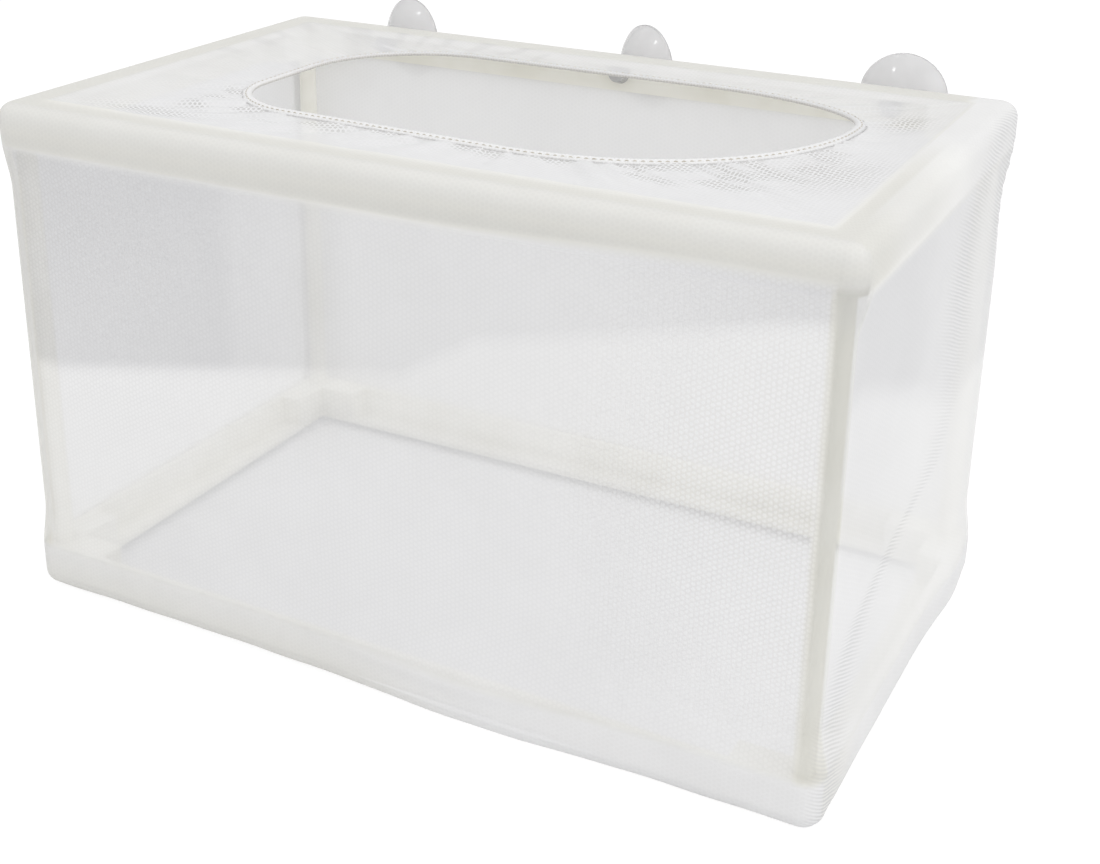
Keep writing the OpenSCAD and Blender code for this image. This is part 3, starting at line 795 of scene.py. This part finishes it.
def build_bag(material):
    """The bag's walls and top as one sheet of cloth.

    Each row up to the rails' inner edge is a rounded outline moved inwards. Between the rings it is drawn
    towards the outline that hugs the posts, fully at the corners and a little between them. Past the rails
    the rows run straight to the mouth's edge with a slight sag, and stand in pleats that grow towards the hem.
    """
    settings = bpy.context.scene.breeding_box
    net, mouth = settings.net, settings.mouth
    counts = side_counts(1.9 * MM, 8)
    outer = rounded_outline(SIZES.half_x, SIZES.half_y, net.corner_radius, counts)
    along, length = loop_lengths(outer)
    s = along / length
    columns = len(s)

    inward, height = bag_profile_rows()
    rows = []
    for step_in in inward:
        radius = max(net.corner_radius - step_in, 0.8 * MM)
        rows.append(rounded_outline(SIZES.half_x - step_in, SIZES.half_y - step_in, radius, counts))
    rim = np.array(rows)
    loose, tight = (
        rounded_outline(SIZES.half_x - pull, SIZES.half_y - pull, radius, counts)
        for pull, radius in ((net.pull_in, net.corner_radius), (net.tight_pull_in, SIZES.post_radius + 0.35 * MM)))
    tight_share = smooth_step(outer[:, 0] / SIZES.half_x, 0.2, 0.9) * smooth_step(-outer[:, 1] / SIZES.half_y, 0.0, 0.9)
    hugging = loose + (tight - loose) * tight_share[:, None]

    ring_low = SIZES.frame_bottom + SIZES.rail_height
    ring_high = SIZES.top - SIZES.rail_height
    rise = smooth_step(height, ring_low - 2 * MM, ring_low + 14 * MM)
    fall = 1 - smooth_step(height, ring_high - 14 * MM, ring_high + 2 * MM)
    drawn_up = (rise * fall)[:, None]
    corner_x = SIZES.half_x - np.abs(outer[:, 0])
    corner_y = SIZES.half_y - np.abs(outer[:, 1])
    from_corner = np.maximum(corner_x, corner_y)
    near = np.exp(-((from_corner / (30 * MM)) ** 2))
    drawn_round = 0.22 + 0.78 * near
    pull = (drawn_up * drawn_round[None, :])[:, :, None]
    plan = rim + (hugging[None] - rim) * pull
    z = np.repeat(height[:, None], columns, axis=1)

    # slow billows of the flat walls and ripples beside the posts
    normal = np.stack([np.gradient(outer[:, 1]), -np.gradient(outer[:, 0])], axis=1)
    normal /= np.linalg.norm(normal, axis=1, keepdims=True)
    open_wall = drawn_up * (1 - near)[None, :]
    level = (height[:, None] - SIZES.frame_bottom) / SIZES.top
    billow = 0.45 * MM * np.sin(2 * np.pi * (1.3 * level + 3 * s[None, :] + 0.2)) + \
        0.3 * MM * np.sin(2 * np.pi * (2.1 * level - 9 * s[None, :] + 0.6))
    tight_x, tight_y = outer.T
    ripple_share = slack_band(tight_x, tight_y, height) * (1 - smooth_step(height, 155 * MM, 158 * MM))[:, None]
    moved = ripple_share * (1 - smooth_step(height, 146 * MM, 151 * MM))[:, None]
    fold = 0.7 * MM * moved * np.sin(2 * np.pi * (level * 2.2 + 0.1))
    phase = (height[:, None] + RIDGE_SLANT * along[None, :]) / (4.4 * MM) + 0.5 * waves(s, (5, 11, 17), 3)[None, :]
    ripple = 0.12 * MM * np.sin(2 * np.pi * phase) * moved
    plan = plan + normal[None] * (-np.abs(billow) * open_wall + ripple - np.abs(fold) * drawn_up)[:, :, None]
    # slack bulges low on the right, towards the back, and low on the front, right of the middle
    low = np.exp(-(((height - 10 * MM) / (14 * MM)) ** 2))[:, None]
    right_end = 2.2 * MM * np.exp(-(((tight_y - 50 * MM) / (19 * MM)) ** 2)) * (tight_x > 0.95 * SIZES.half_x)
    front_end = 4.0 * MM * np.exp(-(((tight_x - 32 * MM) / (36 * MM)) ** 2)) * (tight_y < -0.95 * SIZES.half_y)
    plan = plan + normal[None] * (low * (right_end + front_end)[None, :])[:, :, None]

    # the lower edge waves a little
    below = 1 - smooth_step(height, SIZES.frame_bottom, SIZES.frame_bottom + 6 * MM)
    z = z - below[:, None] * (0.25 * MM * waves(s, (7, 19, 31), 5))[None, :]
    z = np.maximum(z, 0.25 * MM)

    # top, from the rails' inner edge to the hem
    hem_out = 1.6 * MM
    partner = mouth_partners(outer, hem_out)
    span_rows = 34
    t = (np.arange(1, span_rows + 1) / span_rows)[:, None]
    start = plan[-1]
    span = start[None] + (partner - start)[None] * t[:, :, None]
    hem_level = elastic_level() - 0.1 * MM
    sag = 4 * t * (1 - t) * 0.9 * MM
    pleat_phase = mouth.gathers * s + 1.1 * waves(s, (3, 8, 13, 21), 11)
    pleat = np.sin(2 * np.pi * pleat_phase) + 0.2 * np.sin(4 * np.pi * pleat_phase + 1.0)
    strong = 0.65 + 0.45 * near + 0.3 * waves(s, (4, 9, 23), 17)
    grow = 0.05 + 0.95 * smooth_step(t, 0.25, 0.95)
    slow = 1.1 * MM * waves(s, (23, 31, 44), 23)[None, :] * (t ** 0.7) * np.cos(0.5 * np.pi * t ** 4)
    pleats = mouth.gather_height * pleat[None, :] * strong[None, :] * grow
    span_z = SIZES.top + (hem_level - SIZES.top) * smooth_step(t, 0.0, 1.0) - sag + pleats + slow
    ceiling = SIZES.top + 0.9 * MM
    span_z = np.minimum(span_z, ceiling)

    plan = np.concatenate([plan, span])
    z = np.concatenate([z, span_z])
    points = np.concatenate([plan, z[:, :, None]], axis=2)
    points[:, :, 1] += SIZES.mid_y
    count_rows = len(points)

    faces = grid_faces(count_rows, columns, closed_columns=True)
    obj = make_object("net_bag", points.reshape(-1, 3), faces, material)
    u = np.append(along, length)
    middle = points[:, columns // 2]
    v = np.concatenate([[0.0], np.cumsum(np.linalg.norm(np.diff(middle, axis=0), axis=1))])
    set_uv(obj, count_rows, columns, u, v, closed_columns=True)
    lay_top_uv(obj, points, len(inward) - 1)
    share = np.zeros((count_rows, columns))
    share[: len(ripple_share)] = ripple_share
    set_attribute(obj, "ripple", share)
    for label, values in zip(("cover", "open", "backed", "shade"), net_density(points, len(inward), from_corner)):
        set_attribute(obj, label, values)
    return obj, (length, float(v[-1]))


def build_floor(material):
    """The bag's floor: a level sheet with shallow puckers along its edges and slow waves across."""
    net = bpy.context.scene.breeding_box.net
    edge = 5.2 * MM
    x = np.linspace(-SIZES.half_x + edge, SIZES.half_x - edge, 150)
    y = np.linspace(-SIZES.half_y + edge, SIZES.half_y - edge, 92)
    gx, gy = np.meshgrid(x, y)
    to_edge = np.minimum(SIZES.half_x - np.abs(gx), SIZES.half_y - np.abs(gy)) - edge
    slow = 0.3 * MM * (1 + np.sin(gx * 61 + 1.2 + 2 * np.sin(gy * 37)) * np.sin(gy * 83 + 0.4))
    pucker = 0.12 * MM * np.sin(gx * 930) * np.exp(-((to_edge / (5 * MM)) ** 2))
    z = net.ground_gap + slow * smooth_step(to_edge, 0, 20 * MM) + pucker * smooth_step(to_edge, 0, 2 * MM)
    points = np.stack([gx, gy + SIZES.mid_y, z], axis=-1)
    faces = grid_faces(*gx.shape)[:, ::-1]
    obj = make_object("net_floor_cloth", points.reshape(-1, 3), faces, material)
    rows, columns = gx.shape
    r, c = np.arange(rows - 1)[:, None], np.arange(columns - 1)[None, :]
    corners = [(r, c), (r, c + 1), (r + 1, c + 1), (r + 1, c)][::-1]
    uv = np.stack([np.stack([gx[rr, cc], gy[rr, cc]], axis=-1) for rr, cc in corners], axis=2)
    obj.data.uv_layers.new(name="cloth").data.foreach_set("uv", uv.astype(np.float32).ravel())
    even_density(obj, net.cover + 0.12, 0.03)
    # painted shade on the floor cloth, deeper towards the front and faded out towards the right
    forward = smooth_step(-gy, -10 * MM, 60 * MM)
    dull = (0.32 + 0.25 * forward) * (1 - 0.8 * smooth_step(gx, 40 * MM, 95 * MM))
    obj.data.attributes["shade"].data.foreach_set("value", dull.ravel().astype(np.float32))
    return obj, (float(x[-1] - x[0]), float(y[-1] - y[0]))


def build_seam(material):
    """Overlocked seam between walls and floor: a small roll of cloth whose thickness swells at each stitch."""
    net = bpy.context.scene.breeding_box.net
    counts = side_counts(0.75 * MM, 8)
    inset = 5.4 * MM
    outline = rounded_outline(SIZES.half_x - inset, SIZES.half_y - inset, max(net.corner_radius - inset, MM), counts)
    outline[:, 1] += SIZES.mid_y
    path = np.column_stack([outline, np.full(len(outline), net.ground_gap + 0.45 * MM)])
    along, length = loop_lengths(path)
    seam = build_closed_tube("floor_seam", path, along, length, 0.46 * MM, 8, 0.12 * MM, 2.2 * MM, 0.7, material)
    even_density(seam, 0.9, 0.1, 1.2)
    return seam


def build_closed_tube(name, path, along, length, radius, sides, swell, swell_pitch, flat, material):
    """A tube round a closed level path. Its radius swells and shrinks as a sine along the path, and its height
    is flat times its width."""
    outwards, up = tube_frames(path)
    angle = np.arange(sides) / sides * 2 * np.pi
    cycles = max(1, round(length / swell_pitch))
    thick = radius + swell * np.sin(2 * np.pi * cycles * along / length)
    ring = np.cos(angle)[None, :, None] * outwards[:, None] + flat * np.sin(angle)[None, :, None] * up[:, None]
    points = path[:, None] + thick[:, None, None] * ring
    faces = grid_faces(len(path), sides, closed_rows=True, closed_columns=True)
    obj = make_object(name, points.reshape(-1, 3), faces, material)
    u = np.linspace(0, 2 * np.pi * radius, sides + 1)
    set_uv(obj, len(path), sides, u, np.append(along, length), closed_rows=True, closed_columns=True)
    obj.data.flip_normals()
    return obj


def build_hem(material):
    """Hem of the mouth: cloth folded round the elastic and hanging in a narrow lip on the mouth's side.

    Its cross-section is a closed curve of outward and upward distances from the elastic, carried round the
    mouth's edge, and it swells and shrinks in small uneven pleats along the way.
    """
    mouth = bpy.context.scene.breeding_box.mouth
    path2 = mouth_curve(SIZES.hem_height / 2, 1300)
    path2[:, 1] += SIZES.mid_y
    path = np.column_stack([path2, np.full(len(path2), elastic_level())])
    along, length = loop_lengths(path)
    s = along / length
    outwards, up = tube_frames(path)
    section = np.array([
        (2.7, -0.25), (1.7, 0.18), (0.9, 0.46), (0.25, 0.66), (-0.3, 0.6), (-0.64, 0.3),
        (-0.7, -0.1), (-0.52, -0.5), (0.0, -0.68), (0.8, -0.62), (1.7, -0.4)]) * MM
    pleat = np.sin(2 * np.pi * (3 * mouth.gathers * s + 1.9 * waves(s, (5, 12, 27), 31)))
    swell = 1 + 0.04 * pleat + 0.08 * waves(s, (9, 23, 41), 37)
    offset = section[None, :, :1] * outwards[:, None] * swell[:, None, None] + section[None, :, 1:] * up[:, None] * \
        (1 + 0.05 * pleat)[:, None, None]
    points = path[:, None] + offset
    points[:, :, 2] = np.minimum(points[:, :, 2], SIZES.top + 0.35 * MM)
    faces = grid_faces(len(path), len(section), closed_rows=True, closed_columns=True)
    obj = make_object("mouth_hem_cloth", points.reshape(-1, 3), faces, material)
    round_section = np.append(0.0, np.cumsum(np.linalg.norm(np.roll(section, -1, axis=0) - section, axis=1)))
    set_uv(obj, len(path), len(section), round_section, np.append(along, length) * 1.5,
           closed_rows=True, closed_columns=True)
    even_density(obj, 0.9, 0.1)
    # painted light on the front half of the hem, and a faint painted shade at its back
    ahead = smooth_step(-path2[:, 1] + SIZES.mid_y, -25 * MM, 15 * MM)
    obj.data.attributes["shade"].data.foreach_set(
        "value", np.repeat(0.1 - 0.5 * ahead, len(section)).astype(np.float32))
    lip = np.array([0.8, 0.9, 0.95, 0.95, 0.92, 0.8, 0.55, 0.45, 0.6, 0.7, 0.75])
    obj.data.attributes["cover"].data.foreach_set("value", np.tile(lip, len(path)).astype(np.float32))
    obj.data.flip_normals()
    return obj


def elastic_level():
    """Height of the elastic's middle, close under the top of the hem."""
    return SIZES.top - SIZES.elastic_radius - 0.25 * MM


def build_elastic(material):
    """Covered elastic inside the hem: a round cord with the fine bumps of its wrapped thread."""
    path2 = mouth_curve(SIZES.hem_height / 2, 1500)
    path2[:, 1] += SIZES.mid_y
    path = np.column_stack([path2, np.full(len(path2), elastic_level())])
    along, length = loop_lengths(path)
    return build_closed_tube(
        "elastic_loop", path, along, length, SIZES.elastic_radius - 0.12 * MM, 10, 0.05 * MM, 0.9 * MM, 1.0, material)


def build_stitches(material):
    """Row of stitches that closes the hem: short raised threads along the mouth, each an arch that dips into
    the cloth at both ends."""
    offset = SIZES.hem_height / 2 + 1.2 * MM
    loop2 = mouth_curve(offset, 1600)
    along, length = loop_lengths(loop2)
    pitch = 2.1 * MM
    count = int(length / pitch)
    steps, sides = 7, 6
    span = np.linspace(0.12, 0.88, steps)
    at = (np.arange(count)[:, None] + span[None, :]) / count * length
    closed = np.append(along, length)
    ring = np.concatenate([loop2, loop2[:1]])
    x = np.interp(at, closed, ring[:, 0])
    y = np.interp(at, closed, ring[:, 1])
    arch = 0.42 * MM * np.sin(np.pi * (span - 0.12) / 0.76)
    level = elastic_level() + 0.05 * MM
    centre = np.stack([x, y + SIZES.mid_y, np.broadcast_to(level + arch, x.shape)], axis=-1)
    ahead = np.gradient(centre, axis=1)
    ahead /= np.linalg.norm(ahead, axis=2, keepdims=True)
    aside = np.cross(ahead, [0.0, 0.0, 1.0])
    aside /= np.linalg.norm(aside, axis=2, keepdims=True)
    up = np.cross(aside, ahead)
    angle = np.arange(sides) / sides * 2 * np.pi
    thin = 0.17 * MM * np.sin(np.pi * np.linspace(0.12, 0.88, steps)) ** 0.5
    around = np.cos(angle)[:, None] * aside[:, :, None] + np.sin(angle)[:, None] * up[:, :, None]
    points = centre[:, :, None] + thin[None, :, None, None] * around
    one = grid_faces(steps, sides, closed_columns=True)
    faces = (one[None] + (np.arange(count) * steps * sides)[:, None, None]).reshape(-1, 4)
    return make_object("hem_stitches", points.reshape(-1, 3), faces[:, ::-1], material)


# Materials of the frame, hem and cups


def plastic_material():
    """Ivory moulded plastic: faint flow marks, uneven gloss and a very fine skin."""
    color = bpy.context.scene.breeding_box.frame.color
    material, s, surface = new_material("Ivory plastic")
    place = s.add("ShaderNodeTexCoord", out=3)
    mottle = s.group(mottle_group(), Place=place, Broad=45.0, Fine=2600.0)
    darker = tuple(c * k for c, k in zip(color, (0.94, 0.935, 0.91))) + (1.0,)
    shade = s.mix_color(s.spread(mottle["Broad mask"], 0.35, 0.65, 0.0, 1.0), darker, (*color, 1.0))
    s.feed(surface.inputs["Base Color"], shade)
    s.feed(surface.inputs["Roughness"], s.spread(mottle["Broad mask"], 0.3, 0.7, 0.34, 0.46))
    s.feed(surface.inputs["Normal"], s.bump(mottle["Fine mask"], 0.12, 0.05 * MM))
    return material


def elastic_material():
    """Beige thread wound round rubber: slanting wraps along the cord."""
    color = bpy.context.scene.breeding_box.mouth.elastic_color
    material, s, surface = new_material("Wrapped elastic")
    cloth = s.add("ShaderNodeUVMap", settings={"uv_map": "cloth"})
    parts = s.tree.nodes.new("ShaderNodeSeparateXYZ")
    s.feed(parts.inputs[0], cloth)
    slant = s.math("ADD", s.math("MULTIPLY", parts.outputs[1], 9000.0), s.math("MULTIPLY", parts.outputs[0], 2800.0))
    wrap = s.math("SINE", slant)
    # painted shade in the grooves between the wraps
    wrap_shading = s.mix_color(s.spread(wrap, -1.0, 1.0, 0.0, 1.0), tuple(c * 0.72 for c in color) + (1.0,), (*color, 1.0))
    s.feed(surface.inputs["Base Color"], wrap_shading)
    s.feed(surface.inputs["Normal"], s.bump(wrap, 0.5, 0.1 * MM))
    surface.inputs["Roughness"].default_value = 0.75
    return material


def stitch_material():
    """Twisted beige sewing thread."""
    material, s, surface = new_material("Sewing thread")
    place = s.add("ShaderNodeTexCoord", out=3)
    mottle = s.group(mottle_group(), Place=place, Broad=300.0, Fine=4000.0)
    shade = s.mix_color(mottle["Broad mask"], (0.52, 0.48, 0.41, 1.0), (0.74, 0.71, 0.64, 1.0))
    s.feed(surface.inputs["Base Color"], shade)
    s.feed(surface.inputs["Normal"], s.bump(mottle["Fine mask"], 0.4, 0.05 * MM))
    surface.inputs["Roughness"].default_value = 0.6
    return material


def cup_material():
    """Clear soft plastic, slightly frosted, with slow unevenness from its moulding."""
    color = bpy.context.scene.breeding_box.cup.color
    material, s, surface = new_material("Clear soft plastic")
    place = s.add("ShaderNodeTexCoord", out=3)
    mottle = s.group(mottle_group(), Place=place, Broad=90.0, Fine=1500.0)
    paler = tuple(min(1.0, c * 1.06) for c in color) + (1.0,)
    body = s.mix_color(mottle["Broad mask"], (*color, 1.0), paler)
    # painted shade at the grazing edges of the clear plastic
    grazing = s.add("ShaderNodeLayerWeight", out=1, Blend=0.35)
    rim = tuple(c * 0.7 for c in color) + (1.0,)
    s.feed(surface.inputs["Base Color"], s.mix_color(s.spread(grazing, 0.25, 0.9, 0.0, 1.0), body, rim))
    s.feed(surface.inputs["Roughness"], s.spread(mottle["Broad mask"], 0.3, 0.7, 0.07, 0.12))
    s.feed(surface.inputs["Normal"], s.bump(mottle["Broad mask"], 0.15, 0.3 * MM))
    surface.inputs["Transmission Weight"].default_value = 0.5
    surface.inputs["IOR"].default_value = 1.5
    return material


# Stage


def stage_surface(name, color, white_share):
    """Pale floor: part of it is plain paint that takes shadow, and for the camera, mirrors and clear parts the
    rest is even white."""
    material = bpy.data.materials.new(name)
    material.use_nodes = True
    tree = material.node_tree
    tree.nodes.clear()
    s = Shader(tree)
    paint = s.add("ShaderNodeBsdfDiffuse", Color=(*color, 1.0))
    white = s.add("ShaderNodeEmission", Color=(1.0, 1.0, 1.0, 1.0), Strength=1.12)
    path = tree.nodes.new("ShaderNodeLightPath")
    seen = s.math("MAXIMUM", path.outputs["Is Camera Ray"], path.outputs["Is Glossy Ray"])
    seen = s.math("MAXIMUM", seen, path.outputs["Is Transmission Ray"])
    share = s.math("MULTIPLY", seen, white_share)
    both = s.add("ShaderNodeMixShader", in_0=share, in_1=paint, in_2=white)
    tree.links.new(both, tree.nodes.new("ShaderNodeOutputMaterial").inputs[0])
    return material


def build_world(ambient):
    """Even light all round, and plain white behind everything that the camera sees."""
    world = bpy.data.worlds.new("Studio")
    bpy.context.scene.world = world
    world.use_nodes = True
    tree = world.node_tree
    tree.nodes.clear()
    s = Shader(tree)
    path = tree.nodes.new("ShaderNodeLightPath")
    seen = s.math("MAXIMUM", path.outputs["Is Camera Ray"], path.outputs["Is Glossy Ray"])
    seen = s.math("MAXIMUM", seen, path.outputs["Is Transmission Ray"])
    strength = s.spread(seen, 0.0, 1.0, ambient, 1.0, smooth=False)
    background = s.add("ShaderNodeBackground", Color=(1.0, 1.0, 1.0, 1.0), Strength=strength)
    output = tree.nodes.new("ShaderNodeOutputWorld")
    tree.links.new(background, output.inputs[0])


def area_light(name, place, target, size, power):
    """A square soft light that points at a target."""
    data = bpy.data.lights.new(name, "AREA")
    data.shape = "SQUARE"
    data.size = size
    data.energy = power
    light = bpy.data.objects.new(name, data)
    light.location = place
    light.rotation_euler = (Vector(target) - Vector(place)).to_track_quat("-Z", "Y").to_euler()
    bpy.context.scene.collection.objects.link(light)
    return light


def build_camera():
    """Camera of the photograph, with the shift that its off-centre framing needs."""
    stage = bpy.context.scene.breeding_box.stage
    width, height = 1100, 864
    centre_x, centre_y = 510, 300
    data = bpy.data.cameras.new("Photo camera")
    data.sensor_width = 36.0
    data.lens = stage.focal_pixels / width * data.sensor_width
    data.shift_x = (width / 2 - centre_x) / width
    data.shift_y = -(height / 2 - centre_y) / width
    data.clip_start, data.clip_end = 0.01, 50.0
    camera = bpy.data.objects.new("Photo camera", data)
    az, tilt = stage.azimuth, stage.tilt
    ahead = Vector((-math.sin(az) * math.cos(tilt), math.cos(az) * math.cos(tilt), -math.sin(tilt)))
    turn = ahead.to_track_quat("-Z", "Y").to_matrix() @ Matrix.Rotation(stage.roll, 3, "Z")
    camera.matrix_world = Matrix.Translation(stage.camera_place) @ turn.to_4x4()
    bpy.context.scene.collection.objects.link(camera)
    bpy.context.scene.camera = camera


# Operators


class BREEDBOX_OT_stage(bpy.types.Operator):
    """Build the floor, lights, world and camera"""

    bl_idname = "breedbox.stage"
    bl_label = "Stage"

    def execute(self, context):
        stage = context.scene.breeding_box.stage
        context.scene.view_settings.view_transform = "Standard"
        build_camera()
        build_world(stage.ambient)
        reach = 6.0
        corners = np.array([[-reach, -reach, 0], [reach, -reach, 0], [reach, reach, 0], [-reach, reach, 0]])
        floor = make_object("studio_floor", corners, [[0, 1, 2, 3]], stage_surface("Studio floor", (0.93,) * 3, 0.8))
        area_light("Key light", (1.15, -0.55, 0.75), (0.0, 0.0, 0.1), 0.9, 3.0)
        area_light("Top light", (0.2, 0.1, 1.6), (0.0, 0.0, 0.1), 1.6, 3.9)
        area_light("Small light", (-0.5, -0.55, 1.0), (0.0, 0.08, 0.15), 0.14, 0.5)
        return {"FINISHED"}


class BREEDBOX_OT_frame(bpy.types.Operator):
    """Give the rails, posts and corner pieces their moulded plastic"""

    bl_idname = "breedbox.frame"
    bl_label = "Frame"

    def execute(self, context):
        material = plastic_material()
        names = [f"{level}_rail_{side}" for level in ("top", "bottom") for side in SIDES]
        names += [f"{level}_corner_{corner}" for level in ("top", "bottom") for corner in CORNERS]
        names += [f"post_{corner}" for corner in CORNERS]
        for name in names:
            node = frame["nodes"][name]
            node.data.materials.clear()
            node.data.materials.append(material)
        return {"FINISHED"}


class BREEDBOX_OT_net_bag(bpy.types.Operator):
    """Build the net bag: walls and top in one sheet, floor and the seam between them"""

    bl_idname = "breedbox.net_bag"
    bl_label = "Net bag"

    def execute(self, context):
        material = net_material("Net cloth")
        bag, cut = build_bag(material)
        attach(bag, "cage")
        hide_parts(*WALL_NODES, "net_top")
        floor, floor_cut = build_floor(material)
        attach(floor, "cage")
        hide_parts("net_floor")
        seam = build_seam(material)
        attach(seam, "cage")
        return {"FINISHED"}


class BREEDBOX_OT_mouth(bpy.types.Operator):
    """Build the mouth's hem, its elastic and its stitches"""

    bl_idname = "breedbox.mouth"
    bl_label = "Mouth"

    def execute(self, context):
        hem = build_hem(net_material("Hem cloth"))
        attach(hem, "cage")
        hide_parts("mouth_hem")
        elastic = build_elastic(elastic_material())
        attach(elastic, "cage")
        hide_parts("elastic_cord")
        stitches = build_stitches(stitch_material())
        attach(stitches, "cage")
        return {"FINISHED"}


class BREEDBOX_OT_cups(bpy.types.Operator):
    """Give the suction cups their clear soft plastic"""

    bl_idname = "breedbox.cups"
    bl_label = "Suction cups"

    def execute(self, context):
        material = cup_material()
        for place in CUPS:
            node = frame["nodes"][f"suction_cup_{place}"]
            node.data.materials.clear()
            node.data.materials.append(material)
        return {"FINISHED"}


STEPS = (BREEDBOX_OT_stage, BREEDBOX_OT_frame, BREEDBOX_OT_net_bag, BREEDBOX_OT_mouth, BREEDBOX_OT_cups)


class BREEDBOX_PT_panel(bpy.types.Panel):
    """Lists the steps that build the breeding box"""

    bl_idname = "BREEDBOX_PT_panel"
    bl_label = "Breeding box"
    bl_space_type = "VIEW_3D"
    bl_region_type = "UI"
    bl_category = "Breeding box"

    def draw(self, context):
        for step in STEPS:
            self.layout.operator(step.bl_idname)
        settings = context.scene.breeding_box
        for group in (settings.net, settings.mouth, settings.frame, settings.cup, settings.stage):
            box = self.layout.box()
            for key in group.__annotations__:
                box.prop(group, key)


CLASSES = (
    NetSettings, MouthSettings, FrameSettings, CupSettings, StageSettings, BoxSettings, *STEPS, BREEDBOX_PT_panel)


def register():
    for cls in CLASSES:
        bpy.utils.register_class(cls)
    bpy.types.Scene.breeding_box = PointerProperty(type=BoxSettings)


def unregister():
    del bpy.types.Scene.breeding_box
    for cls in reversed(CLASSES):
        bpy.utils.unregister_class(cls)


def main():
    register()
    bpy.ops.breedbox.stage()
    bpy.ops.breedbox.frame()
    bpy.ops.breedbox.net_bag()
    bpy.ops.breedbox.mouth()
    bpy.ops.breedbox.cups()


if __name__ == "__main__":
    main()
